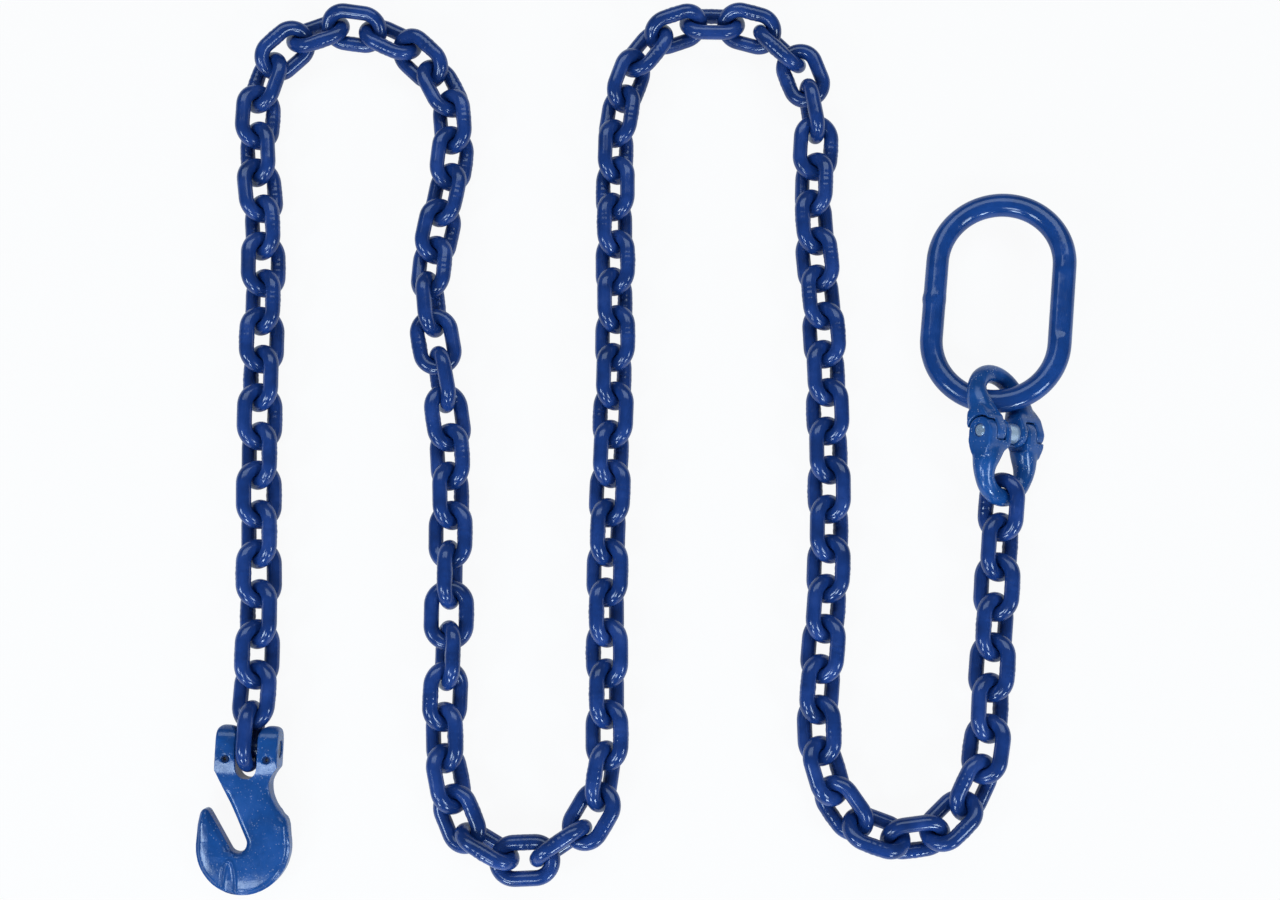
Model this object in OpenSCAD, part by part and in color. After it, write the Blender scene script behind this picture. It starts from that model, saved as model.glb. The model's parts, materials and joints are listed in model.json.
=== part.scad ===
// Welded lifting chain laid out in four loops, with an oblong master link and its
// two-part coupling link at one end and a clevis grab hook at the other.
// All sizes are in millimetres. X is to the right, Y away from the reader, Z is up
// and the floor is at Z = 0.

/* [Chain] */
// Diameter of the wire that a chain link is bent from
wire_d = 8.3; // [7.6:0.1:8.4]
// Inside length of a chain link
pitch = 24; // [23.6:0.1:24.6]
// Inside width of a chain link
inside_w = 12; // [11.8:0.1:12.8]
// Play between the crowns of two links that hang in each other
seat_gap = 0.8; // [0.6:0.05:1.0]
// Height of the weld bead over the wire
weld_rise = 0.3; // [0.1:0.05:0.4]
// Length of the weld bead along the wire
weld_w = 3.6; // [2:0.2:5]

/* [Master link] */
// Diameter of the master link's wire
master_wire_d = 14; // [13:0.1:14.6]
// Inside length of the master link
master_inside_l = 108; // [100:1:120]
// Inside width of the master link
master_inside_w = 60; // [56:1:70]
// Length of the flat pressed into one leg
master_flat_l = 40; // [20:1:42]
// Depth of the flat
master_flat_depth = 0.8; // [0.3:0.1:1.2]
// Height of the master link's weld bead
master_weld_rise = 0.6; // [0.3:0.1:0.9]
// Length of the master link's weld bead
master_weld_w = 7; // [4:0.5:9]

/* [Coupling link] */
// Diameter of a coupling half's leg and crown
coupling_wire_d = 11; // [10:0.1:11.5]
// Distance between the centres of the two legs
coupling_leg_gap = 38; // [36.5:0.5:41]
// Distance from the hinge pin to the wire centre at the crown
coupling_l = 37.5; // [36:0.5:40]
// Diameter of the hinge pin
coupling_pin_d = 7.6; // [6.5:0.1:8]
// Length of the hinge pin
coupling_pin_l = 50; // [48:0.5:50]
// Outside diameter of the centre bush
bush_d = 11.6; // [11:0.1:13]
// Length of the centre bush
bush_l = 10; // [8:0.2:10]
// Width of the whole hinge, over both outer ears
hinge_w = 50; // [49:0.5:51]
// Thickness of the single eye that goes between two ears
eye_t = 7.8; // [7:0.1:8]
// Thickness of an inner ear
inner_ear_t = 4.5; // [4:0.1:4.7]
// Outside diameter of the ears and eyes round the pin
knuckle_d = 16; // [15:0.1:17]
// Space between the faces of ears and eyes of the two halves
ear_play = 0.3; // [0.2:0.05:0.4]
// Running play round the hinge pin
pin_play = 0.06; // [0.03:0.01:0.09]

/* [Grab hook] */
// Width of the clevis over both ears
clevis_w = 36; // [34:0.5:38]
// Thickness of the clevis
clevis_t = 18; // [16.5:0.5:19]
// Width of the slot between the ears
clevis_slot_w = 12.2; // [11.8:0.1:13]
// Height of the ears over the load pin's centre
ear_top = 13; // [12:0.5:14]
// Diameter of the load pin
load_pin_d = 9.5; // [9:0.1:9.8]
// Length of the load pin
load_pin_l = 34; // [31:0.5:34]
// Diameter of the two spring pins that lock the load pin
spring_pin_d = 4; // [3.5:0.1:4.4]
// Length of a spring pin
spring_pin_l = 16; // [14:0.5:16.5]
// Distance of a spring pin from the middle of the clevis
spring_pin_x = 11.8; // [11:0.1:12.6]
// Thickness of the hook's body
hook_t = 14; // [12.5:0.5:16]
// Radius of the hook's bowl
bowl_r = 27.3; // [26.5:0.1:28.5]
// Distance from the load pin to the centre of the bowl
bowl_drop = 55; // [54:0.5:58]
// Width of the throat at its closed end
throat_w = 10.5; // [9.8:0.1:11.5]
// Width of the bevel along the hook's edges
bevel = 2.4; // [1.5:0.1:3]

/* [Lay] */
// Lean of the coupling link about its length
coupling_lean = 39; // [37:0.5:41]
// Fold of each coupling half at the hinge
coupling_fold = 12; // [9:1:15]
// Heading of the coupling link, from the right
coupling_heading = 93; // [88:1:97]
// Distance from the hinge pin to the master link's wire
master_hang = 20.5; // [19.5:0.5:21.5]
// How far the master link's wire sits to the left of the coupling link's middle
master_left = 4; // [3:0.5:5]
// How far the master link's wire sags below the line of the coupling link
master_sag = 2; // [1:0.5:2.5]
// Heading of the master link, from the right
master_heading = 83.5; // [80:0.5:88]
// Lean of the master link about its length
master_lean = 12; // [11:0.5:15]

/* [Hidden] */
$fn = 64;

chain_blue = "#23477f";
master_blue = "#25528f";
fitting_blue = "#2b66a8";
steel = "#b9bec4";
dark_steel = "#565b63";

link_count = 102;
pair_count = link_count / 2;
floor_gap = 0.01;
far_out = 200;

// Where the chain lies, from the hook to the master link, in loops of about 95 mm
route = [
    [-222, -178], [-220, -111], [-224, 7], [-226, 124], [-233, 194], [-226, 240],
    [-188, 264], [-143, 251], [-115, 215], [-115, 168], [-126, 99], [-112, 7],
    [-110, -108], [-112, -170], [-105, -207], [-88, -233], [-50, -234], [-32, -219],
    [-20, -196], [-19, -157], [-19, -63], [-15, 54], [-15, 171], [-11, 218],
    [10, 258], [54, 266], [92, 246], [107, 198], [104, 151], [110, 57], [110, -59],
    [104, -130], [102, -176], [122, -218], [167, -223], [195, -187], [201, -141],
    [208, -70], [211, -24]
];
// Twist of the chain at some of its links: it turns over once in the second and
// third loop, and once more over the third arch
twist = [
    [1, 41], [2, 14], [3, 4], [5, 0], [28, 0], [29, -8], [30, -27], [31, -45],
    [32, -64], [33, -82], [34, -97], [36, -108], [37, -124], [38, -141], [39, -158],
    [40, -174], [42, -186], [43, -197], [44, -206], [45, -220], [46, -234],
    [47, -248], [49, -260], [66, -266], [69, -262], [70, -274], [71, -288],
    [72, -302], [73, -318], [74, -334], [75, -352], [76, -360], [102, -360]
];
// How far each link leans away from the twist, one to the left and the next to the right
spread = [[1, 42], [16, 42], [18, 39], [23, 39], [28, 42], [30, 45], [46, 45],
          [48, 43], [66, 43], [70, 45], [74, 45], [76, 41], [102, 41]];
// Moves the laid-out chain so that the middle of its outline is at X = Y = 0
lay_shift = [-3.5, -11, 0];

// Chain link
wire_r = wire_d / 2;
crown_r = inside_w / 2 + wire_r;
reach = pitch / 2 + wire_r;
bar_half = reach - crown_r;
seat = wire_d + seat_gap;

// Master link
master_r = master_wire_d / 2;
master_crown_r = master_inside_w / 2 + master_r;
master_bar_half = master_inside_l / 2 + master_r - master_crown_r;
master_reach = master_bar_half + master_crown_r;

// Coupling link, measured out from the middle of the hinge along the pin
coupling_r = coupling_wire_d / 2;
leg_y = coupling_leg_gap / 2;
coupling_leg_l = coupling_l - leg_y;
knuckle_r = knuckle_d / 2;
inner_ear_y = bush_l / 2 + 0.2;
slot_y = inner_ear_y + inner_ear_t;
eye_y = slot_y + ear_play;
outer_ear_y = eye_y + eye_t + ear_play;
ear_end_y = hinge_w / 2;
mate_r = knuckle_r + 0.8;
neck_start_x = 7;
neck_x = mate_r + 1;
root_end_x = mate_r + 5.4;
pin_bore_r = coupling_pin_d / 2 + pin_play;

// Grab hook, with the load pin's centre at the origin and the chain towards +Y
pin_gap = 0.4;
slot_r = clevis_slot_w / 2;
slot_end_y = -(load_pin_d / 2 + pin_gap + wire_d + 3.2) + slot_r;
shoulder_y = -12;
neck_y = -24;
waist_r = 17;
waist = [clevis_w / 2 + 12.2, -22];
bowl = [-0.6, -bowl_drop];
throat_r = throat_w / 2;
throat_end = [-3.6, 1.8 - bowl_drop];
tip = [-24, 22 - bowl_drop];
tip_outside = [tip + [-3.4, -10], tip + [-2.3, -3.5], tip];
tip_inside = tip + [2.2, -1.4];
back_edge = bowl + [bowl_r - 2, 16];
throat_sides = [throat_end + [-4.6, -2.5], throat_end + [4.8, 2.2]];
throat_mouth = [[-17.5, -12.8], [-40, -12.8]];
body_top = neck_y - 8;
spring_pin_y = -(load_pin_d / 2 + spring_pin_d / 2 - 1.2);
play = 0.1;

function unit(v) = v / norm(v);
function left_of(d) = unit(cross([0, 0, 1], d));
function width_axis(d, lean) = left_of(d) * cos(lean) + cross(d, left_of(d)) * sin(lean);
function lean_of(d, w) = atan2(w * cross(d, left_of(d)), w * left_of(d));
function same_way(v, d) = v * d < 0 ? -v : v;
function running_sum(v) = [for (i = 0, s = 0; i <= len(v); s = s + (i < len(v) ? v[i] : 0), i = i + 1) s];

// A smooth curve through the route's points
function on_curve(a, b, c, d, t) =
    0.5 * (2 * b + (c - a) * t + (2 * a - 5 * b + 4 * c - d) * t * t + (3 * b - a - 3 * c + d) * t * t * t);
curve_steps = 12;
last = len(route) - 1;
guide = concat([2 * route[0] - route[1]], route, [2 * route[last] - route[last - 1]]);
path = concat(
    [for (i = [1 : last], k = [0 : curve_steps - 1])
        on_curve(guide[i - 1], guide[i], guide[i + 1], guide[i + 2], k / curve_steps)],
    [route[last]]);
path_s = running_sum([for (i = [1 : len(path) - 1]) norm(path[i] - path[i - 1])]);
path_l = path_s[len(path) - 1];
path_x = [for (i = [0 : len(path) - 1]) [path_s[i], path[i].x]];
path_y = [for (i = [0 : len(path) - 1]) [path_s[i], path[i].y]];

// Lean of each link about its own length, counted from 1 at the hook
lean = [for (i = [1 : link_count])
    lookup(i, twist) + (i % 2 == 1 ? 1 : -1) * lookup(i, spread)];
// Height at which a leaning link rests on the floor
rest_z = [for (a = lean) crown_r * abs(sin(a)) + wire_r + floor_gap];
// Rise of the last but one seat, so that two links share the slope to the coupling
end_step = 5;

// The coupling's hinge stands on one end of its pin and lifts the end of the chain
hinge_z = ear_end_y * sin(coupling_lean) + floor_gap
    + (knuckle_r * cos(coupling_fold) + neck_start_x * sin(coupling_fold)) * cos(coupling_lean);
crown_drop = coupling_l * cos(coupling_lean) * sin(coupling_fold);
chain_end_rise = 1.2;
chain_end_z = hinge_z - crown_drop + chain_end_rise;

// Points midway between the crowns that hang in each other: the chord lengths and the
// slope of each contact give the next, better set
function seat_points(steps, slope) =
    let (along = running_sum(steps), fit = along[link_count] / path_l)
    [for (k = [0 : link_count])
        let (s = along[k] / fit,
             before = k == 0 ? 0 : rest_z[k - 1] - slope[k] * seat / 2,
             after = k == link_count ? chain_end_z : rest_z[k] + slope[k] * seat / 2)
        [fit * lookup(s, path_x), fit * lookup(s, path_y),
         max(before, after, k == link_count - 1 ? chain_end_z - end_step : 0)]];
function settle(steps, slope, rounds) =
    let (points = seat_points(steps, slope),
         along = [for (k = [1 : link_count]) unit(points[k] - points[k - 1])],
         wide = [for (k = [0 : link_count - 1]) width_axis(along[k], lean[k])],
         across = concat([along[0]],
             [for (k = [1 : link_count - 1])
                 same_way(unit(cross(wide[k - 1], wide[k])), along[k - 1] + along[k])],
             [along[link_count - 1]]),
         near = [for (k = [0 : link_count - 1]) points[k] - across[k] * seat / 2],
         far = [for (k = [0 : link_count - 1]) points[k + 1] + across[k + 1] * seat / 2])
    rounds == 1 ? [near, far] :
        settle([for (k = [0 : link_count - 1]) steps[k] + 2 * reach - norm(far[k] - near[k])],
               [for (k = [0 : link_count]) k == 0 || k == link_count ? 0 : across[k].z],
               rounds - 1);
lay = settle([for (k = [1 : link_count]) 2 * reach - seat], [for (k = [0 : link_count]) 0], 4);
link_at = [for (k = [0 : link_count - 1]) (lay[0][k] + lay[1][k]) / 2 + lay_shift];
link_dir = [for (k = [0 : link_count - 1]) unit(lay[1][k] - lay[0][k])];

// The hook hangs on the first link and tips until its bowl rests on the floor
hook_dir = unit([link_dir[0].x, link_dir[0].y, 0]);
load_pin_at = link_at[0] - link_dir[0] * (pitch / 2 - pin_gap - load_pin_d / 2);
hook_tip_down = asin((load_pin_at.z - hook_t / 2) / (bowl_drop + bowl_r));

// The coupling's lower crown hangs in the last link
end_link = link_count - 1;
lower_crown_at = link_at[end_link] + link_dir[end_link] * (pitch / 2 - seat_gap - coupling_r);
coupling_dir = [cos(coupling_heading), sin(coupling_heading), 0];
hinge_axis = width_axis(coupling_dir, coupling_lean);
fold_side = cross(coupling_dir, hinge_axis);
lower_dir = -(coupling_dir * cos(coupling_fold) + fold_side * sin(coupling_fold));
upper_dir = coupling_dir * cos(coupling_fold) - fold_side * sin(coupling_fold);
hinge_at = lower_crown_at - lower_dir * coupling_l;

// The master link's lower crown goes through the coupling; its other end and one
// leg rest on the floor
master_low_at = hinge_at + upper_dir * master_hang - [master_left, 0, master_sag];
floor_rise = master_low_at.z - master_r - floor_gap;
floor_reach = master_reach + master_bar_half;
lean_rise = master_crown_r * sin(master_lean);
slope_a = floor_reach * floor_reach - master_crown_r * master_crown_r;
master_slope = (floor_rise * floor_reach - sqrt(pow(floor_rise * floor_reach, 2)
    - slope_a * (floor_rise * floor_rise - lean_rise * lean_rise))) / slope_a;
master_tip_down = asin(master_slope);
master_dir = [cos(master_tip_down) * cos(master_heading),
              cos(master_tip_down) * sin(master_heading), -sin(master_tip_down)];
master_at = master_low_at + master_dir * master_reach;

function three_digits(n) = str(n < 10 ? "00" : n < 100 ? "0" : "", n);
function pair_name(i) = str("chain_links_", three_digits(2 * i - 1), "_", three_digits(2 * i));
pair_names = [for (i = [1 : pair_count]) pair_name(i)];

// Puts a piece's length along d and its width along w
module placed(at, d, w) {
    translate(at)
        rotate([lean_of(d, w), -asin(d.z), atan2(d.y, d.x)])
            children();
}

// A round wire bent into an oblong ring in the XY plane, its length along X
module oblong_ring(r, bend_r, half_l) {
    for (side = [0, 180])
        rotate(side) {
            translate([half_l, 0, 0])
                rotate(-90)
                    rotate_extrude(angle = 180)
                        translate([bend_r, 0])
                            circle(r);
            translate([-half_l, bend_r, 0])
                rotate([0, 90, 0])
                    cylinder(r = r, h = 2 * half_l);
        }
}

// The ridge that butt welding leaves round a wire along X
module weld_bead(r, rise, w) {
    rotate([0, 90, 0])
        rotate_extrude()
            polygon([[0, -w / 2], [r, -w / 2], [r + rise, -w / 6],
                     [r + rise, w / 6], [r, w / 2], [0, w / 2]]);
}

module chain_link() {
    oblong_ring(wire_r, crown_r, bar_half);
    translate([0, crown_r, 0])
        weld_bead(wire_r, weld_rise, weld_w);
}

module chain_pair(i) {
    color(chain_blue)
        for (k = [2 * i - 2, 2 * i - 1])
            placed(link_at[k], link_dir[k], width_axis(link_dir[k], lean[k]))
                chain_link();
}

module master_link() {
    color(master_blue)
        placed(master_at, master_dir, width_axis(master_dir, -master_lean)) {
            difference() {
                oblong_ring(master_r, master_crown_r, master_bar_half);
                translate([-master_flat_l / 2, -master_crown_r - master_wire_d,
                           master_r - master_flat_depth])
                    cube([master_flat_l, 2 * master_wire_d, master_wire_d]);
            }
            translate([0, master_crown_r, 0])
                weld_bead(master_r, master_weld_rise, master_weld_w);
        }
}

// Side view of an ear or eye: round at the pin and tapering into the leg
module knuckle_side() {
    circle(knuckle_r);
    polygon([[0, -knuckle_r], [neck_start_x, -knuckle_r], [root_end_x, -coupling_r],
             [root_end_x, coupling_r], [neck_start_x, knuckle_r], [0, knuckle_r]]);
}

// A slab of the knuckle's side view, between two places along the pin
module knuckle(from_y, to_y) {
    translate([0, to_y, 0])
        rotate([90, 0, 0])
            linear_extrude(to_y - from_y)
                knuckle_side();
}

// One half of the coupling, with the pin along Y and the crown towards +X. Its fork
// is on the +Y leg and its single eye on the -Y leg, and both halves are alike.
module coupling_half() {
    difference() {
        union() {
            translate([coupling_leg_l, 0, 0])
                rotate(-90)
                    rotate_extrude(angle = 180)
                        translate([leg_y, 0])
                            circle(coupling_r);
            for (side = [-1, 1])
                translate([neck_x, side * leg_y, 0])
                    rotate([0, 90, 0])
                        cylinder(r = coupling_r, h = coupling_leg_l - neck_x);
            intersection() {
                knuckle(inner_ear_y, ear_end_y);
                fork_outline();
            }
            intersection() {
                knuckle(-ear_end_y, -eye_y);
                eye_outline();
            }
        }
        // room for the other half's eye, between the ears
        translate([-far_out / 2, slot_y, -far_out / 2])
            cube([far_out / 2, outer_ear_y - slot_y, far_out]);
        translate([0, slot_y, 0])
            rotate([-90, 0, 0])
                cylinder(r = mate_r, h = outer_ear_y - slot_y);
        // room for the other half's outer ear, beside the eye
        translate([-far_out / 2, -far_out / 2, -far_out / 2])
            cube([far_out / 2, far_out / 2 - eye_y - eye_t, far_out]);
        translate([0, -eye_y - eye_t, 0])
            rotate([90, 0, 0])
                cylinder(r = mate_r, h = far_out / 2);
        translate([0, -ear_end_y - 1, 0])
            rotate([-90, 0, 0])
                cylinder(r = pin_bore_r, h = hinge_w + 2);
    }
}

// Plan of the fork's root, narrowing from both ears to the round leg
module fork_outline() {
    linear_extrude(far_out, center = true)
        polygon([[-knuckle_r - 1, inner_ear_y], [knuckle_r, inner_ear_y],
                 [root_end_x, leg_y - coupling_r], [root_end_x, leg_y + coupling_r],
                 [neck_x, ear_end_y], [-knuckle_r - 1, ear_end_y]]);
}

// Plan of the single eye's root
module eye_outline() {
    linear_extrude(far_out, center = true)
        polygon([[-knuckle_r - 1, -eye_y], [knuckle_r, -eye_y],
                 [root_end_x, coupling_r - leg_y], [root_end_x, -leg_y - coupling_r],
                 [neck_x, -ear_end_y], [-knuckle_r - 1, -ear_end_y]]);
}

module coupling_half_upper() {
    color(fitting_blue)
        placed(hinge_at, upper_dir, -hinge_axis)
            coupling_half();
}

module coupling_half_lower() {
    color(fitting_blue)
        placed(hinge_at, lower_dir, hinge_axis)
            coupling_half();
}

// The hinge pin, with a bevel at each end
module coupling_pin() {
    end_bevel = 1;
    pin_r = coupling_pin_d / 2;
    color(steel)
        placed(hinge_at, upper_dir, hinge_axis)
            rotate([90, 0, 0])
                rotate_extrude()
                    polygon([[0, -coupling_pin_l / 2], [pin_r - end_bevel, -coupling_pin_l / 2],
                             [pin_r, end_bevel - coupling_pin_l / 2],
                             [pin_r, coupling_pin_l / 2 - end_bevel],
                             [pin_r - end_bevel, coupling_pin_l / 2], [0, coupling_pin_l / 2]]);
}

module coupling_bush() {
    color(steel)
        placed(hinge_at, upper_dir, hinge_axis)
            rotate([90, 0, 0])
                difference() {
                    cylinder(d = bush_d, h = bush_l, center = true);
                    cylinder(r = pin_bore_r, h = bush_l + 2, center = true);
                }
}

module hook_placed() {
    placed(load_pin_at,
           [cos(hook_tip_down) * hook_dir.x, cos(hook_tip_down) * hook_dir.y, sin(hook_tip_down)],
           left_of(hook_dir))
        rotate(-90)
            children();
}

// Plan of the shank, the bowl and the point, without the throat
module hook_plan() {
    difference() {
        union() {
            translate(bowl)
                circle(bowl_r);
            polygon([[-clevis_w / 2, shoulder_y], [clevis_w / 2, shoulder_y],
                     [clevis_w / 2, neck_y], back_edge, bowl + [bowl_r, 0], bowl]);
            polygon(concat([bowl - [bowl_r, 0]], tip_outside, [tip_inside, bowl]));
        }
        translate(waist)
            circle(waist_r);
        throat_plan();
    }
}

// The throat: a straight slot with a round end, opening a little towards its mouth
module throat_plan() {
    translate(throat_end)
        circle(throat_r);
    polygon(concat(throat_sides, throat_mouth, [tip_inside]));
}

// Side view of the clevis, across the load pin: round ears and a taper to the body
module clevis_side() {
    ear_r = clevis_t / 2;
    translate([0, ear_top - ear_r])
        circle(ear_r);
    polygon([[-ear_r, ear_top - ear_r], [ear_r, ear_top - ear_r], [ear_r, shoulder_y],
             [hook_t / 2 - bevel, body_top], [bevel - hook_t / 2, body_top],
             [-ear_r, shoulder_y]]);
}

module hook_body() {
    color(fitting_blue)
        hook_placed()
            difference() {
                union() {
                    bevelled_plan();
                    clevis();
                }
                translate([0, slot_end_y, 0])
                    cylinder(r = slot_r, h = far_out, center = true);
                translate([-slot_r, slot_end_y, -far_out / 2])
                    cube([clevis_slot_w, far_out, far_out]);
                rotate([0, 90, 0])
                    cylinder(r = load_pin_d / 2 + play, h = far_out, center = true);
                for (side = [-1, 1])
                    translate([side * spring_pin_x, spring_pin_y, 0])
                        cylinder(r = spring_pin_d / 2 + play, h = far_out, center = true);
                bowl_pocket();
            }
}

// The body, with its sharp edges taken off all round
module bevelled_plan() {
    minkowski() {
        linear_extrude(hook_t - 2 * bevel, center = true)
            offset(delta = -bevel)
                hook_plan($fn = 40);
        rotate_extrude($fn = 14)
            polygon([[0, -bevel], [bevel, 0], [0, bevel]]);
    }
}

module clevis() {
    corner_r = 3.5;
    intersection() {
        linear_extrude(far_out, center = true)
            difference() {
                union() {
                    translate([-clevis_w / 2, body_top])
                        square([clevis_w, ear_top - corner_r - body_top]);
                    translate([corner_r - clevis_w / 2, 0])
                        square([clevis_w - 2 * corner_r, ear_top]);
                    for (side = [-1, 1])
                        translate([side * (clevis_w / 2 - corner_r), ear_top - corner_r])
                            circle(corner_r);
                }
                translate(waist)
                    circle(waist_r);
                throat_plan();
                for (side = [0, 1])
                    mirror([side, 0, 0])
                        ear_mouth();
            }
        rotate([0, 90, 0])
            linear_extrude(clevis_w + 2, center = true)
                clevis_side();
    }
}

// Rounds an ear off towards the mouth of the slot
module ear_mouth() {
    mouth_r = 6;
    translate([slot_r + mouth_r, ear_top - mouth_r])
        difference() {
            translate([-mouth_r - 1, 0])
                square([mouth_r + 1, mouth_r + 1]);
            circle(mouth_r);
        }
}

// A shallow forged hollow in the upper face of the bowl
module bowl_pocket() {
    pocket_depth = 1;
    translate([-8, 8 - bowl_r - bowl_drop, hook_t / 2 - pocket_depth])
        linear_extrude(far_out) {
            circle(4.6);
            polygon([[-4.4, 1.4], [4.4, 1.4], [0.6, 14], [-0.6, 14]]);
        }
}

// The load pin, notched where the spring pins cross it
module hook_load_pin() {
    color(dark_steel)
        hook_placed()
            difference() {
                rotate([0, 90, 0])
                    cylinder(d = load_pin_d, h = load_pin_l, center = true);
                for (side = [-1, 1])
                    translate([side * spring_pin_x, spring_pin_y, 0])
                        cylinder(r = spring_pin_d / 2 + play, h = far_out, center = true);
            }
}

// Two hollow spring pins
module hook_spring_pins() {
    color(dark_steel)
        hook_placed()
            for (side = [-1, 1])
                translate([side * spring_pin_x, spring_pin_y, 0])
                    difference() {
                        cylinder(d = spring_pin_d, h = spring_pin_l, center = true);
                        cylinder(d = spring_pin_d / 2, h = spring_pin_l + 2, center = true);
                    }
}

master_link();
coupling_half_upper();
coupling_half_lower();
coupling_pin();
coupling_bush();
hook_body();
hook_load_pin();
hook_spring_pins();
for (i = [1 : pair_count])
    chain_pair(i);
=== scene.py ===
import json
import math

import bpy
import numpy as np
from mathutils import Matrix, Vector

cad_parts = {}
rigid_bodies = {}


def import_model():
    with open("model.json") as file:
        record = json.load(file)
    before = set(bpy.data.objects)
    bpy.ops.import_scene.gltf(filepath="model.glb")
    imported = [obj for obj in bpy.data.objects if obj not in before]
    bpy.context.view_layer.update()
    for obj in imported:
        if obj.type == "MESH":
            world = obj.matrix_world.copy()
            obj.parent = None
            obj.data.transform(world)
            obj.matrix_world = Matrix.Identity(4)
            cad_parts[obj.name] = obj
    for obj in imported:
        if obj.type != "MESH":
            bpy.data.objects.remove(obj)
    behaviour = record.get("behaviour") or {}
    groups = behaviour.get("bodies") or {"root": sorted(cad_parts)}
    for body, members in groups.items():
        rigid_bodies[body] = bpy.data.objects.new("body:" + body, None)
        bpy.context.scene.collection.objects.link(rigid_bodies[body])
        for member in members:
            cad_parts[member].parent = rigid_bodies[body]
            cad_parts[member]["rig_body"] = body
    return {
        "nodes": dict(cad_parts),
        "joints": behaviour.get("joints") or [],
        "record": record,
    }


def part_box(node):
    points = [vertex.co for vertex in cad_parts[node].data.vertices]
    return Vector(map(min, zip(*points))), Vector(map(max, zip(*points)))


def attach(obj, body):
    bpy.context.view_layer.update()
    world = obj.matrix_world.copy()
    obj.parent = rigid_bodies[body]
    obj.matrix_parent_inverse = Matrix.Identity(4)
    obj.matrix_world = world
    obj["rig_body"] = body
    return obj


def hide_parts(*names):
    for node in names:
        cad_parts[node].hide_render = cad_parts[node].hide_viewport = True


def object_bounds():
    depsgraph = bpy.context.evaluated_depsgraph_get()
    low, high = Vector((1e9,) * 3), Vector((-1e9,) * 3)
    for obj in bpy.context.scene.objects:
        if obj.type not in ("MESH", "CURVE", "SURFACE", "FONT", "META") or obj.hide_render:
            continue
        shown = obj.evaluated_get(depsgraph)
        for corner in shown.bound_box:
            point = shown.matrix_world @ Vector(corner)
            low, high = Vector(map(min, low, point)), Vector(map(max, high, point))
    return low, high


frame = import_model()
cad_box = [list(map(float, corner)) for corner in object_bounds()]

scene = bpy.context.scene
scene.view_settings.view_transform = "Standard"
nodes = frame["nodes"]
joints = {j["name"]: j for j in frame["joints"]}
body_of_node = {n: o["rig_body"] for n, o in nodes.items()}
MM = 0.001


# Camera
def make_camera():
    data = bpy.data.cameras.new("camera")
    data.sensor_fit = "HORIZONTAL"
    data.sensor_width = 36.0
    data.lens = 46.4
    data.clip_start = 0.01
    data.clip_end = 20.0
    cam = bpy.data.objects.new("camera", data)
    scene.collection.objects.link(cam)
    cam.location = (-0.0035, -0.1767, 0.966)
    cam.rotation_euler = (math.radians(9.8), 0, 0)
    scene.camera = cam


# Lights
LAMP_COLOR = (0.66, 0.84, 1.0)


def area(name, place, target, size, power):
    data = bpy.data.lights.new(name, "AREA")
    data.shape = "RECTANGLE"
    data.size, data.size_y = size
    data.energy = power
    data.color = LAMP_COLOR
    lamp = bpy.data.objects.new(name, data)
    scene.collection.objects.link(lamp)
    lamp.location = place
    aim = Vector(target) - Vector(place)
    lamp.rotation_euler = aim.to_track_quat("-Z", "Y").to_euler()


def make_lights():
    area("softbox_front", (-0.5, -1.12, 1.2), (-0.1, -0.15, 0), (0.45, 0.35), 5.5)
    area("low_left", (-0.75, -1.75, 0.65), (0, 0, 0), (0.4, 0.3), 9)
    area("low_right", (0.85, -1.75, 0.65), (0, 0, 0), (0.4, 0.3), 9)
    area("softbox_left", (-1.15, -0.7, 0.95), (0, 0, 0), (0.4, 0.45), 7)
    area("softbox_right", (1.1, -0.8, 0.95), (0, 0, 0), (0.4, 0.45), 7)
    area("ceiling_back", (0.0, 1.3, 1.5), (0, 0, 0), (2.4, 1.0), 20)
    world = bpy.data.worlds.new("studio")
    scene.world = world
    world.use_nodes = True
    nt = world.node_tree
    nt.nodes.clear()
    out = nt.nodes.new("ShaderNodeOutputWorld")
    background = nt.nodes.new("ShaderNodeBackground")
    background.inputs["Color"].default_value = (0.6, 0.8, 1.0, 1)
    background.inputs["Strength"].default_value = 0.12
    nt.links.new(background.outputs[0], out.inputs[0])


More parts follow.
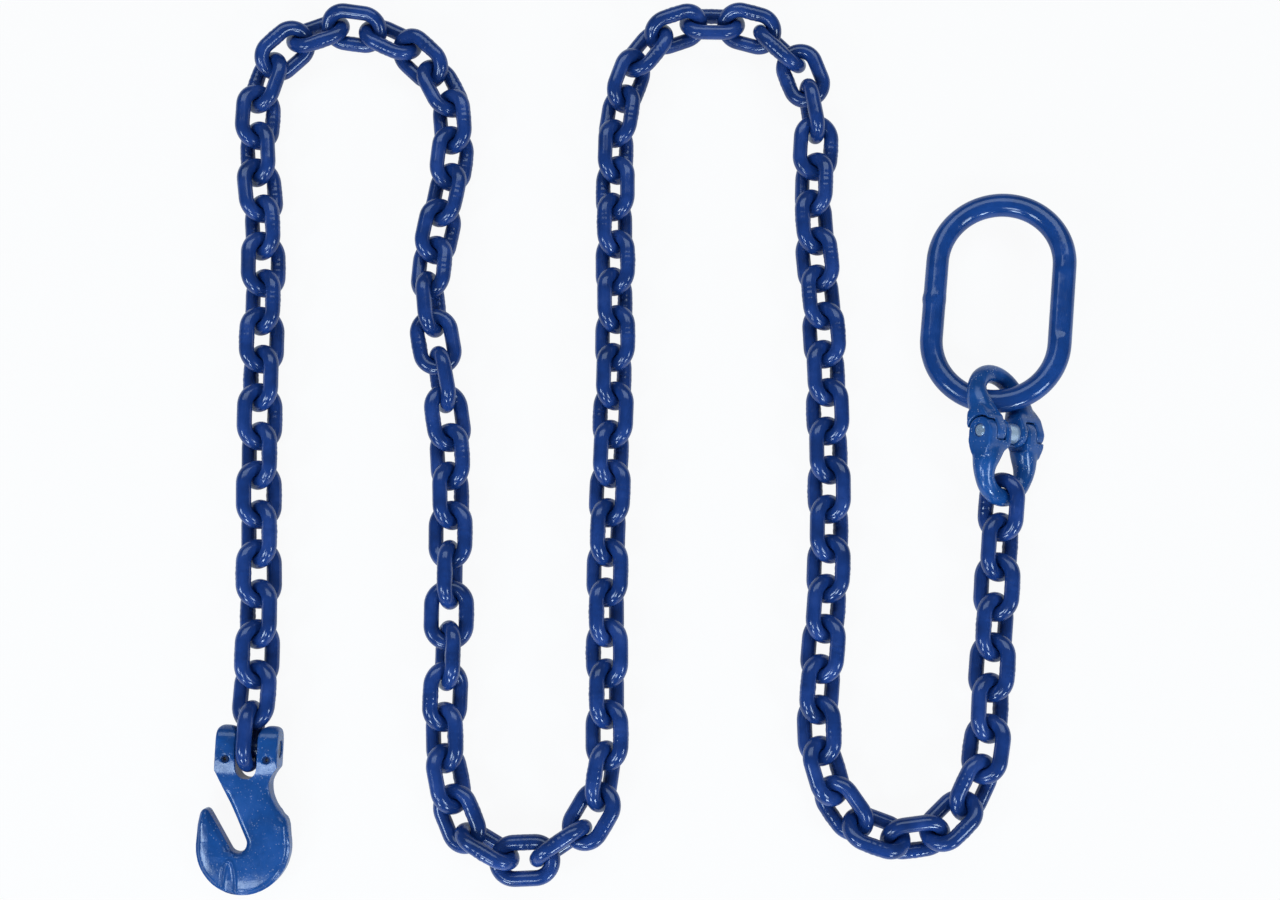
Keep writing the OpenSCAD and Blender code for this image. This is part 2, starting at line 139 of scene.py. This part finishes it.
# Materials
class Tree:
    """Short names for building one material's node tree."""

    def __init__(self, name):
        self.mat = bpy.data.materials.new(name)
        self.mat.use_nodes = True
        self.nt = self.mat.node_tree
        self.nt.nodes.clear()
        self.out = self.node("ShaderNodeOutputMaterial")
        self.bsdf = self.node("ShaderNodeBsdfPrincipled")
        self.link(self.bsdf.outputs[0], self.out.inputs["Surface"])
        self.where = self.node("ShaderNodeTexCoord").outputs["Object"]

    def node(self, kind, **values):
        n = self.nt.nodes.new(kind)
        for key, value in values.items():
            setattr(n, key, value)
        return n

    def link(self, a, b):
        self.nt.links.new(a, b)

    def noise(self, scale, detail=4, rough=0.55, distort=0.0):
        n = self.node("ShaderNodeTexNoise")
        n.inputs["Scale"].default_value = scale
        n.inputs["Detail"].default_value = detail
        n.inputs["Roughness"].default_value = rough
        n.inputs["Distortion"].default_value = distort
        self.link(self.where, n.inputs["Vector"])
        return n.outputs["Fac"]

    def spots(self, scale):
        n = self.node("ShaderNodeTexVoronoi")
        n.inputs["Scale"].default_value = scale
        n.inputs["Randomness"].default_value = 1.0
        self.link(self.where, n.inputs["Vector"])
        return n.outputs["Distance"]

    def ramp(self, value, stops):
        n = self.node("ShaderNodeValToRGB")
        ramp = n.color_ramp
        ramp.elements[0].position, ramp.elements[0].color = stops[0][0], stops[0][1]
        ramp.elements[1].position, ramp.elements[1].color = stops[-1][0], stops[-1][1]
        for at, color in stops[1:-1]:
            ramp.elements.new(at).color = color
        self.link(value, n.inputs["Fac"])
        return n.outputs["Color"]

    def grey(self, value, lo, hi, at=(0.0, 1.0)):
        return self.ramp(value, [(at[0], (lo, lo, lo, 1)), (at[1], (hi, hi, hi, 1))])

    def mix(self, factor, a, b):
        n = self.node("ShaderNodeMix", data_type="RGBA", blend_type="MIX")
        for socket, value in ((n.inputs[0], factor), (n.inputs[6], a), (n.inputs[7], b)):
            if isinstance(value, (tuple, list, float, int)):
                socket.default_value = value
            else:
                self.link(value, socket)
        return n.outputs[2]

    def math(self, op, a, b):
        n = self.node("ShaderNodeMath", operation=op)
        for socket, value in ((n.inputs[0], a), (n.inputs[1], b)):
            if isinstance(value, (float, int)):
                socket.default_value = value
            else:
                self.link(value, socket)
        return n.outputs[0]

    def bump(self, height, strength, distance, normal=None):
        n = self.node("ShaderNodeBump")
        n.inputs["Strength"].default_value = strength
        n.inputs["Distance"].default_value = distance
        self.link(height, n.inputs["Height"])
        if normal is not None:
            self.link(normal, n.inputs["Normal"])
        return n.outputs["Normal"]


def paint(name, color, shade, rough=0.3, coat=0.35, speckle=0.0, ripple=0.35, gloss=0.5):
    """Sprayed enamel over forged steel: drifts of tone, a light orange peel, pits and dust nibs."""
    t = Tree(name)
    dark = tuple(c * (1 - shade) for c in color) + (1,)
    base = tuple(color) + (1,)
    lift = tuple(min(1, c * (1 + 0.8 * shade) + 0.012) for c in color) + (1,)
    drift = t.noise(70, 3, 0.5)
    tone = t.ramp(drift, [(0.3, dark), (0.52, base), (0.72, lift)])
    grime = t.grey(t.noise(420, 5, 0.65), 0, 1, (0.56, 0.74))
    tone = t.mix(t.math("MULTIPLY", grime, 0.35), tone, tuple(c * 0.55 for c in color) + (1,))
    if speckle:
        nibs = t.grey(t.spots(540), 1, 0, (0.14, 0.2))
        patch = t.grey(t.noise(75, 3, 0.6), 0, 1, (0.42, 0.52))
        nibs = t.math("MULTIPLY", nibs, patch)
        pale = tuple(min(1, 0.6 * c + 0.38) for c in color) + (1,)
        tone = t.mix(t.math("MULTIPLY", nibs, speckle), tone, pale)
    t.link(tone, t.bsdf.inputs["Base Color"])
    t.link(t.grey(t.noise(260, 4, 0.6), rough - 0.08, rough + 0.12, (0.3, 0.75)),
           t.bsdf.inputs["Roughness"])
    t.bsdf.inputs["Specular IOR Level"].default_value = gloss
    t.bsdf.inputs["Coat Weight"].default_value = coat
    t.bsdf.inputs["Coat Roughness"].default_value = 0.1
    peel = t.bump(t.noise(300, 3, 0.5), ripple, 0.0004)
    pits = t.bump(t.grey(t.spots(900), 0, 1, (0.0, 0.22)), 0.25 + 0.4 * speckle, 0.00012, peel)
    forged = t.bump(t.noise(85, 2, 0.5, 0.4), 0.22, 0.0012, pits)
    t.link(forged, t.bsdf.inputs["Normal"])
    return t.mat


def steel(name, color, rough):
    """Turned steel with fine rings of tool marks and a few smudges."""
    t = Tree(name)
    smudge = t.noise(320, 4, 0.6)
    base = tuple(color) + (1,)
    t.link(t.ramp(smudge, [(0.3, tuple(c * 0.94 for c in color) + (1,)), (0.6, base)]),
           t.bsdf.inputs["Base Color"])
    t.bsdf.inputs["Metallic"].default_value = 0.6
    t.link(t.grey(smudge, rough + 0.06, rough - 0.03, (0.3, 0.7)), t.bsdf.inputs["Roughness"])
    t.link(t.bump(t.noise(900, 2, 0.5), 0.06, 0.00005), t.bsdf.inputs["Normal"])
    return t.mat


def floor_paper():
    t = Tree("floor_paper")
    t.bsdf.inputs["Roughness"].default_value = 0.9
    t.bsdf.inputs["Base Color"].default_value = (0.86, 0.86, 0.86, 1)
    t.bsdf.inputs["Specular IOR Level"].default_value = 0.0
    glow = t.node("ShaderNodeEmission")
    glow.inputs["Color"].default_value = (1, 1, 1, 1)
    glow.inputs["Strength"].default_value = 1.0
    rays = t.node("ShaderNodeLightPath")
    seen = t.math("MAXIMUM", rays.outputs["Is Camera Ray"], rays.outputs["Is Transmission Ray"])
    seen = t.math("MAXIMUM", t.math("MULTIPLY", seen, 0.93),
                  t.math("MULTIPLY", rays.outputs["Is Glossy Ray"], 0.3))
    both = t.node("ShaderNodeMixShader")
    t.link(seen, both.inputs[0])
    t.link(t.bsdf.outputs[0], both.inputs[1])
    t.link(glow.outputs[0], both.inputs[2])
    t.link(both.outputs[0], t.out.inputs["Surface"])
    return t.mat


# Mesh helpers
def mesh_arrays(obj):
    me = obj.data
    co = np.empty(len(me.vertices) * 3)
    me.vertices.foreach_get("co", co)
    me.calc_loop_triangles()
    tri = np.empty(len(me.loop_triangles) * 3, np.int64)
    me.loop_triangles.foreach_get("vertices", tri)
    return co.reshape(-1, 3), tri.reshape(-1, 3)


def new_object(name, co, faces, material, smooth=True):
    me = bpy.data.meshes.new(name)
    me.from_pydata(co.tolist(), [], faces.tolist())
    me.update()
    if smooth:
        me.polygons.foreach_set("use_smooth", np.ones(len(me.polygons), bool))
    me.materials.append(material)
    obj = bpy.data.objects.new(name, me)
    scene.collection.objects.link(obj)
    return obj


def own_axes(co, tri):
    """Middle, axes and full extents of one closed solid, from the areas of its triangles."""
    a, b, c = co[tri[:, 0]], co[tri[:, 1]], co[tri[:, 2]]
    area2 = np.linalg.norm(np.cross(b - a, c - a), axis=1)
    mid = (a + b + c) / 3
    centre = (mid * area2[:, None]).sum(0) / area2.sum()
    rel = mid - centre
    cov = (rel * area2[:, None]).T @ rel / area2.sum()
    _, vec = np.linalg.eigh(cov)
    axes = vec[:, ::-1].T
    axes[2] = np.cross(axes[0], axes[1])
    used = co[np.unique(tri)]
    along = (used - centre) @ axes.T
    lo, hi = along.min(0), along.max(0)
    centre = centre + axes.T @ ((lo + hi) / 2)
    return centre, axes, hi - lo


def islands(co, tri):
    """The triangles of each separate solid in one node."""
    key = np.unique(np.round(co / 2e-6).astype(np.int64), axis=0, return_inverse=True)[1].ravel()
    t = key[tri]
    label = np.arange(key.max() + 1)
    while True:
        low = label[t].min(1)
        before = label.copy()
        for i in range(3):
            np.minimum.at(label, t[:, i], low)
        label = label[label]
        if (label == before).all():
            break
    tag = label[t[:, 0]]
    return [tri[tag == v] for v in np.unique(tag)]


# Chain links
# height, place along the bar and width of the weld's middle band and its two side ridges (m)
WELD_RIDGES = ((0.0002, 0.0, 0.0015), (0.00013, 0.0031, 0.0007), (0.00012, -0.0032, 0.0007))
WELD_DRIFT = 0.0006
OFF_THE_BAR = 9.0
PAINTED_DOWN = 0.992
LUMP = 0.00003


def stadium(bar, crown, n_bar, n_arc):
    """The middle line of a link: each point, its outward angle and its place along the straight bar."""
    points, angles, places = [], [], []
    for side in (-1, 1):
        for i in range(n_bar):
            x = side * (bar - 2 * bar * i / n_bar)
            points.append((x, side * crown))
            angles.append(side * 90.0)
            places.append(x)
        for i in range(n_arc):
            angle = side * 90 + 180 * i / n_arc
            turn = math.radians(angle)
            points.append((-side * bar + crown * math.cos(turn), crown * math.sin(turn)))
            angles.append(angle)
            places.append(OFF_THE_BAR)
    return np.array(points), np.radians(angles), np.array(places)


def tube_faces(n_path, n_round):
    """Quads of a closed tube whose points run round each section in turn."""
    i, k = np.meshgrid(np.arange(n_path), np.arange(n_round), indexing="ij")
    here, ahead = i * n_round, (i + 1) % n_path * n_round
    beside = (k + 1) % n_round
    return np.stack([here + k, ahead + k, ahead + beside, here + beside], -1).reshape(-1, 4)


def link_surface(size, seed, weld_side):
    """One welded link about its own middle: length along X, width along Y, wire along Z.

    The size is the solid's full extents, with its weld bead."""
    rng = np.random.default_rng(seed)
    length, width, wire = size
    r = wire / 2
    n_round = 26
    path, out, place = stadium(length / 2 - width / 2, width / 2 - r, n_bar=22, n_arc=30)
    flat = np.zeros(len(path))
    outward = np.column_stack([np.cos(out), np.sin(out), flat])
    up = np.array([0, 0, 1.0])
    phi = np.arange(n_round) * 2 * math.pi / n_round

    on_weld = (np.sign(path[:, 1]) == weld_side) & (place < OFF_THE_BAR)
    from_weld = place - rng.uniform(-WELD_DRIFT, WELD_DRIFT)
    bead = sum(h * np.exp(-((from_weld - at) / w) ** 2) for h, at, w in WELD_RIDGES)
    bead = np.where(on_weld, bead, 0)
    lump = rng.uniform(0, 2 * math.pi, 4)
    wave = 1 + 0.35 * np.cos(phi * 2 + lump[0]) + 0.25 * np.cos(phi * 3 + lump[1])
    along = np.arange(len(path)) / len(path) * 2 * math.pi
    radius = PAINTED_DOWN * r + bead[:, None] * wave[None, :]
    radius = radius + LUMP * (np.cos(3 * along + lump[2])[:, None] * np.cos(phi + lump[3])[None, :])

    ring = (outward[:, None, :] * np.cos(phi)[None, :, None]
            + up * np.sin(phi)[None, :, None])
    co = np.column_stack([path, flat])[:, None, :] + ring * radius[:, :, None]
    return co.reshape(-1, 3), tube_faces(len(path), n_round)


def dress_chain(material):
    lo, hi = np.array(cad_box[0]), np.array(cad_box[1])
    for name in sorted(n for n in nodes if n.startswith("chain_links_")):
        co, tri = mesh_arrays(nodes[name])
        number = int(name.split("_")[2])
        all_co, all_faces = [], []
        for k, part in enumerate(islands(co, tri)):
            centre, axes, size = own_axes(co, part)
            weld_side = 1 if (number + k) % 3 else -1
            points, faces = link_surface(size, number + k, weld_side)
            if np.linalg.det(axes) < 0:
                axes[2] = -axes[2]
            all_faces.append(faces + sum(len(c) for c in all_co))
            all_co.append(np.clip(centre + points @ axes, lo, hi))
        obj = new_object(name.replace("chain_links", "welded_links"), np.vstack(all_co),
                         np.vstack(all_faces), material)
        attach(obj, body_of_node[name])
        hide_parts(name)


# Forged pieces
def distance_to_line(co, point, axis):
    rel = co - np.array(point)
    axis = np.array(axis) / np.linalg.norm(axis)
    return np.linalg.norm(rel - (rel @ axis)[:, None] * axis, axis=1)


def forged(node, name, voxel, rounds, material, held=None, relief=None, extra=()):
    """A softened copy of a CAD piece: sharp edges rounded as forging and paint leave them."""
    src = nodes[node]
    co, tri = mesh_arrays(src)
    for more_co, more_tri in extra:
        tri = np.vstack([tri, more_tri + len(co)])
        co = np.vstack([co, more_co])
    obj = new_object(name, co, tri, material)
    remesh = obj.modifiers.new("remesh", "REMESH")
    remesh.mode = "VOXEL"
    remesh.voxel_size = voxel
    remesh.adaptivity = 0.0
    bpy.context.view_layer.update()
    done = bpy.data.meshes.new_from_object(obj.evaluated_get(bpy.context.evaluated_depsgraph_get()))
    obj.modifiers.clear()
    obj.data = done
    co = np.empty(len(done.vertices) * 3)
    done.vertices.foreach_get("co", co)
    co = co.reshape(-1, 3)
    edge = np.empty(len(done.edges) * 2, np.int64)
    done.edges.foreach_get("vertices", edge)
    edge = edge.reshape(-1, 2)
    count = np.bincount(edge.ravel(), minlength=len(co))[:, None]
    free = np.ones(len(co)) if held is None else 1 - held(co)
    for _ in range(rounds):
        total = np.zeros_like(co)
        for axis in range(3):
            total[:, axis] = (np.bincount(edge[:, 0], co[edge[:, 1], axis], len(co))
                              + np.bincount(edge[:, 1], co[edge[:, 0], axis], len(co)))
        co = co + (0.5 * free)[:, None] * (total / np.maximum(count, 1) - co)
    if relief is not None:
        co = relief(co)
    lo, hi = (np.array(c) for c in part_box(node))
    co = np.clip(co, lo, hi)
    done.vertices.foreach_set("co", co.ravel())
    done.polygons.foreach_set("use_smooth", np.ones(len(done.polygons), bool))
    done.materials.clear()
    done.materials.append(material)
    done.update()
    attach(obj, body_of_node[node])
    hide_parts(node)


def near_axis(joint, radius):
    """Keeps the surfaces round a pin as they are."""
    hinge = joints[joint]
    fade = 0.0006

    def held(co):
        d = distance_to_line(co, hinge["pos_m"], hinge["axis"])
        return np.clip((radius + fade - d) / fade, 0, 1)
    return held


def local_frame(point, along, across):
    along, across = np.array(along, float), np.array(across, float)
    across /= np.linalg.norm(across)
    along = along - (along @ across) * across
    along /= np.linalg.norm(along)
    return np.array(point, float), np.array([along, across, np.cross(along, across)])


# half the spacing of the coupling's legs, and the length of a leg up to where its crown begins (mm)
LEG_Y = 19.0
LEG_L = 18.5


def swell(place, axes, side, stations):
    """A closed blended body along a leg and into its crown.

    A station is the way along the leg, the shift outward, the half width and the half thickness (mm)."""
    n = 36
    a = np.arange(n) * 2 * math.pi / n
    c, d = np.cos(a), np.sin(a)
    rows, ends = [], []
    for s, shift, w, t in stations:
        turn = max(0.0, s - LEG_L) / LEG_Y
        out = np.array([math.sin(turn), math.cos(turn)])
        mid = np.array([min(s, LEG_L), 0]) + LEG_Y * out
        power = np.interp(s, [12, 24], [0.8, 1.0])
        reach = shift + w * np.sign(c) * np.abs(c) ** power
        flat = mid + reach[:, None] * out
        rows.append(np.column_stack([flat[:, 0], side * flat[:, 1], t * np.sign(d) * np.abs(d) ** power]))
        ends.append([mid[0] + shift * out[0], side * (mid[1] + shift * out[1]), 0])
    co = np.vstack(rows + [[ends[0]], [ends[-1]]]) * MM
    tri = []
    for r in range(len(stations) - 1):
        for k in range(n):
            p, q = r * n + k, r * n + (k + 1) % n
            tri += [(p, p + n, q + n), (p, q + n, q)]
    top = len(stations) * n
    for k in range(n):
        tri.append((top, k, (k + 1) % n))
        tri.append((top + 1, top - n + (k + 1) % n, top - n + k))
    tri = np.array(tri)
    if np.linalg.det(axes) * side > 0:
        tri = tri[:, ::-1]
    return place + co @ axes, tri


def coupling_half(node, name, material):
    """One forged half: each leg swells smoothly from its round crown into its fork or eye."""
    hinge = joints["coupling_hinge"]
    eye_reach = 0.0078
    co, _ = mesh_arrays(nodes[node])
    place, axes = local_frame(hinge["pos_m"], co.mean(0) - np.array(hinge["pos_m"]), hinge["axis"])
    loc = (co - place) @ axes.T
    near = loc[np.hypot(loc[:, 0], loc[:, 2]) < eye_reach]
    side = 1 if near[near[:, 1] > 0][:, 1].min() < -near[near[:, 1] < 0][:, 1].max() else -1
    fork = [(9.6, -3.8, 9.3, 7.6), (13, -2.9, 8.8, 7.5), (17, -1.8, 7.8, 7.1), (21, -0.9, 6.7, 6.5),
            (25, -0.3, 5.9, 5.9), (29, 0.0, 5.3, 5.4), (34, 0, 4.8, 5.0), (38, 0, 4.6, 4.7)]
    eye = [(10.2, -3.4, 7.4, 7.4), (13, -2.5, 7.5, 7.3), (17, -1.5, 7.2, 6.9), (21, -0.8, 6.5, 6.4),
           (25, -0.3, 5.9, 5.9), (29, 0.0, 5.3, 5.4), (34, 0, 4.8, 5.0), (38, 0, 4.6, 4.7)]
    parts = [swell(place, axes, side, fork), swell(place, axes, -side, eye)]
    forged(node, name, 0.00035, 46, material, near_axis("coupling_hinge", 0.0044), extra=parts)


def master_relief(co):
    """Dresses the weld down to a low band and leaves the pressed flat as it is."""
    src, tri = mesh_arrays(nodes["master_link"])
    centre, axes, size = own_axes(src, tri)
    wire_r = 0.007
    weld_left = 0.3
    loc = (co - centre) @ axes.T
    crown = size[1] / 2 - wire_r
    bar = size[0] / 2 - size[1] / 2
    line = np.clip(loc[:, 0], -bar, bar)
    out = loc[:, :2] - np.column_stack([line, np.zeros(len(loc))])
    far = np.maximum(np.linalg.norm(out, axis=1), 1e-6)
    unit = out / far[:, None]
    foot = np.column_stack([line + unit[:, 0] * crown, unit[:, 1] * crown, np.zeros(len(loc))])
    rel = loc - foot
    r = np.maximum(np.linalg.norm(rel, axis=1), 1e-6)
    new = np.where(r > wire_r, wire_r + weld_left * (r - wire_r), r)
    loc = foot + rel * (new / r)[:, None]
    return centre + loc @ axes


# the hook's relief, in hook coordinates (mm): pin at the origin, chain to +Y, X to the right
BODY_TOP, EAR_TOP = 7.0, 9.0
BOWL_Y = -54.6
BOWL_SCALE = (0.974, 0.985)
CAD_BOWL = (-0.6, -55)
EAR_SCALE = 35.4 / 36
BACK_SHIFT = ([-46, -42, -38.5, -34, -29, -24, -18], [0, 0, -0.6, 1.8, 1.6, 0.9, 0])
POINT_RIDGE = ([-58, -53.6, -33], [-18.8, -18.6, -20.8])
POCKET = (-7.2, -73.6)
POCKET_R = 6.8
ARCH = np.array([(-10.6, -81), (-10.4, -70.5), (-9.6, -65.6), (-8.3, -62.9), (-6.7, -61.8), (-5.1, -62.7),
                 (-3.8, -65.4), (-2.7, -70.5), (-1.9, -81)])
ARCH_TOP = 4
ARCH_RISE, ARCH_HALF_W = 0.45, 0.65
HOLLOW_DEPTH, HOLLOW_FADE = 0.9, 1.3


def smooth_step(t):
    t = np.clip(t, 0, 1)
    return t * t * (3 - 2 * t)


def hook_axes():
    """The pin's place and the hook's left, along and normal directions."""
    hinge = joints["hook_hinge"]
    pin = np.array(hinge["pos_m"])
    left = np.array(hinge["axis"], float)
    left *= -np.sign(left[0])
    mount = next(m for m in frame["record"]["mounts"] if m["name"] == "grab_hook_throat")
    down = np.array(mount["pos_m"]) - pin
    along = -(down - (down @ left) * left)
    along /= np.linalg.norm(along)
    normal = np.cross(along, left)
    normal *= np.sign(normal[2])
    return pin, left, along, normal


def fit_outline(x, y):
    """The outline follows the photograph's: the bowl a little smaller, the back straighter."""
    low = smooth_step((-14 - y) / 26)
    x = x + np.interp(y, *BACK_SHIFT) * np.clip(x / 12, 0, 1)
    x = x * EAR_SCALE * (1 - low) + (x - CAD_BOWL[0]) * BOWL_SCALE[0] * low
    y = y * (1 - low) + (BOWL_Y + (y - CAD_BOWL[1]) * BOWL_SCALE[1]) * low
    return x, y


def arch_relief(x, y):
    """The raised arch on the bowl and the hollow inside it."""
    dist = np.full(len(x), 99.0)
    for a, b in zip(ARCH[:-1], ARCH[1:]):
        d = b - a
        t = np.clip(((x - a[0]) * d[0] + (y - a[1]) * d[1]) / (d @ d), 0, 1)
        dist = np.minimum(dist, np.hypot(x - a[0] - t * d[0], y - a[1] - t * d[1]))
    left_side = np.interp(y, ARCH[:ARCH_TOP + 1, 1], ARCH[:ARCH_TOP + 1, 0])
    right_side = np.interp(-y, -ARCH[ARCH_TOP:, 1], ARCH[ARCH_TOP:, 0])
    inside = (x > left_side) & (x < right_side) & (y < ARCH[ARCH_TOP, 1])
    hollow = np.where(inside, HOLLOW_DEPTH * (1 - np.exp(-(dist / HOLLOW_FADE) ** 2)), 0)
    return ARCH_RISE * np.exp(-(dist / ARCH_HALF_W) ** 2) - hollow


def rim_sag(x, y):
    """The bowl falls away towards its rim."""
    rho = np.hypot(x, y - BOWL_Y)
    blend = np.clip((-42 - y) / 10, 0, 1)
    return 0.009 * np.clip(rho - 12, 0, None) ** 2 * blend * np.where(rho < 30, 1, 0)


def point_flank(x, y):
    """The inner flank of the point slopes down to the throat."""
    throat_edge = -8 - 0.578 * (y + 55.8)
    slope = np.clip(x - np.interp(y, *POINT_RIDGE), 0, 12) * 0.2
    flank = np.where((x < throat_edge + 0.8) & (y < -27), slope, 0)
    return flank * np.clip((y + 60) / 6, 0, 1)


def in_cad_pocket(x, y):
    """Where the CAD has its pressed pocket: a round end and a neck that narrows towards the throat."""
    across = np.abs(x - POCKET[0])
    round_end = np.hypot(x - POCKET[0], y - POCKET[1]) < POCKET_R
    neck = (across < np.interp(y, [-72, -57], [6.6, 2.6])) & (y > -74) & (y < -57)
    return round_end | neck


def hook_relief(co):
    """Forged relief of the hook's upper face."""
    pin, left, along, normal = hook_axes()
    rel = (co - pin) / MM
    x, y = fit_outline(-rel @ left, rel @ along)
    z = rel @ normal
    upper = z > 1.0
    top = BODY_TOP + (EAR_TOP - BODY_TOP) * smooth_step((y + 16) / 12)
    # the CAD's pocket is filled, and the arch takes its place
    new = np.where(in_cad_pocket(x, y) & (z > 5.4) & (z < 7.05), BODY_TOP, z)
    on_top = np.clip((new - 3.5) / 2.5, 0, 1)
    new = new + on_top * (arch_relief(x, y) - rim_sag(x, y) - point_flank(x, y))
    new = np.minimum(new, top + 0.46)
    new = np.where((y > -60) & upper, np.minimum(new, top), new)
    z = np.where(upper, new, z)
    return pin + (-x[:, None] * left + y[:, None] * along + z[:, None] * normal) * MM


def set_material(node, material):
    data = nodes[node].data
    data.materials.clear()
    data.materials.append(material)
    data.polygons.foreach_set("use_smooth", np.ones(len(data.polygons), bool))


# Floor
def make_floor():
    below = 0.0003
    half = 4.0
    z = cad_box[0][2] - below
    co = np.array([[-half, -half, z], [half, -half, z], [half, half, z], [-half, half, z]])
    floor = new_object("floor", co, np.array([[0, 1, 2, 3]]), floor_paper(), smooth=False)


make_camera()
make_lights()
make_floor()
chain_paint = paint("chain_enamel", (0.0125, 0.048, 0.21), 0.3, rough=0.15, coat=0.2, ripple=0.08,
                    gloss=0.45)
master_paint = paint("master_enamel", (0.010, 0.062, 0.255), 0.2, rough=0.13, coat=0.2, ripple=0.05,
                     gloss=0.45)
fitting_paint = paint("fitting_enamel", (0.010, 0.075, 0.27), 0.22, rough=0.2, coat=0.15, speckle=0.45,
                      ripple=0.14, gloss=0.45)
# The coupling takes the fittings' enamel painted lighter, as painted light on its tilted faces, with
# stronger dust nibs.
coupling_lightened_paint = paint("coupling_enamel_painted_light", (0.010, 0.086, 0.31), 0.22, rough=0.18, coat=0.2, speckle=1.0,
                       ripple=0.14, gloss=0.45)
bright = steel("bright_steel", (0.56, 0.66, 0.78), 0.24)
# Near-black blue pin enamel: the load pin's dark paint, and painted shade for the dark hollows of the
# spring pins.
dark = paint("pin_enamel_and_painted_shade", (0.006, 0.022, 0.09), 0.3, rough=0.3, coat=0.2, ripple=0.2)

dress_chain(chain_paint)
forged("master_link", "master_ring", 0.00055, 22, master_paint, relief=master_relief)
coupling_half("coupling_half_upper", "coupling_upper_forging", coupling_lightened_paint)
coupling_half("coupling_half_lower", "coupling_lower_forging", coupling_lightened_paint)
forged("hook_body", "hook_forging", 0.0004, 26, fitting_paint, near_axis("hook_hinge", 0.0052),
       hook_relief)
set_material("coupling_pin", bright)
set_material("coupling_bush", bright)
set_material("hook_load_pin", dark)
# On the spring pins this near-black enamel is painted shade for their dark bores.
set_material("hook_spring_pins", dark)
